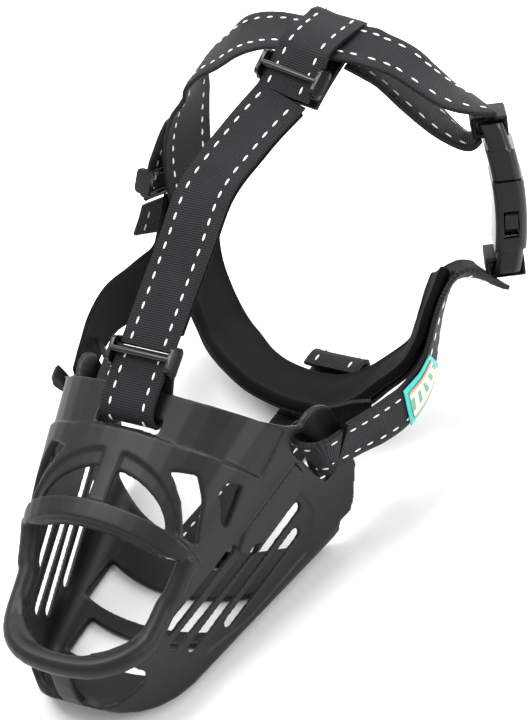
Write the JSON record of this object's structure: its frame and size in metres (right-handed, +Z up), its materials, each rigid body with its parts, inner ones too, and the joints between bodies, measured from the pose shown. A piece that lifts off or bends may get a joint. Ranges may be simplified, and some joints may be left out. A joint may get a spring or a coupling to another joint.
{
  "type": "basket muzzle",
  "caption": "Moulded basket muzzle with roof windows and wall slots, a forehead strap, padded throat band and an adjustable collar with a side release buckle.",
  "frame": {"origin": "on the underside of the basket's floor, on its plane of symmetry, in the middle of the solid panel between the two openings and the chin strap's slot", "axes": "+Z up, +Y towards the neck, so that the nose points along -Y, +X to the dog's left"},
  "size_m": [0.1779, 0.2686, 0.1445],
  "materials": {
    "moulded": "satin",
    "webbing": "woven",
    "neoprene": "matt",
    "buckle_plastic": "gloss",
    "label_edge": "woven",
    "label_centre": "woven"
  },
  "bodies": {
    "basket": {"basket": "moulded", "nose_loop": "webbing", "forehead_webbing": "webbing", "forehead_lining": "neoprene", "forehead_top_loop": "webbing", "collar_far_webbing": "webbing", "collar_far_outer": "webbing", "collar_tail": "webbing", "collar_near_webbing": "webbing", "collar_near_return": "webbing", "near_cheek_strap": "webbing", "near_cheek_loop": "webbing", "far_cheek_strap": "webbing", "far_cheek_loop": "webbing", "throat_band": "neoprene", "throat_webbing": "webbing", "chin_strap": "webbing", "chin_loop": "webbing", "buckle_housing": "buckle_plastic", "buckle_web_loop": "webbing", "label_border": "label_edge", "label_patch": "label_centre"},
    "buckle_male": {"buckle_male": "buckle_plastic", "male_web_loop": "webbing"},
    "prong_left": {"prong_left": "buckle_plastic"},
    "prong_right": {"prong_right": "buckle_plastic"},
    "lower_triglide": {"lower_triglide": "buckle_plastic"},
    "upper_triglide": {"upper_triglide": "buckle_plastic"},
    "collar_triglide": {"collar_triglide": "buckle_plastic"}
  },
  "joints": [
    {"name": "buckle_release", "type": "slide", "parent": "basket", "child": "buckle_male", "axis": [-0.1339, 0.4955, 0.8582], "range_m": [0, 0.03], "deforming": ["collar_near_webbing", "collar_near_return", "prong_left", "prong_right"]},
    {"name": "prong_left_press", "type": "hinge", "parent": "buckle_male", "child": "prong_left", "pos_m": [0.0822, 0.15876, 0.08842], "axis": [0.7894, 0.5769, -0.2099], "range_deg": [0, 8], "stiffness_Nm_per_rad": 0.5},
    {"name": "prong_right_press", "type": "hinge", "parent": "buckle_male", "child": "prong_right", "pos_m": [0.07046, 0.17149, 0.07924], "axis": [-0.7894, -0.5769, 0.2099], "range_deg": [0, 8], "stiffness_Nm_per_rad": 0.5},
    {"name": "lower_triglide_slide", "type": "slide", "parent": "basket", "child": "lower_triglide", "axis": [0, 0.9023, 0.4311], "range_m": [-0.002, 0.003]},
    {"name": "upper_triglide_slide", "type": "slide", "parent": "basket", "child": "upper_triglide", "axis": [0.1402, 0.901, 0.4105], "range_m": [-0.003, 0.001]},
    {"name": "collar_triglide_slide", "type": "slide", "parent": "basket", "child": "collar_triglide", "axis": [0.1997, 0.4894, 0.8489], "range_m": [-0.003, 0]}
  ]
}
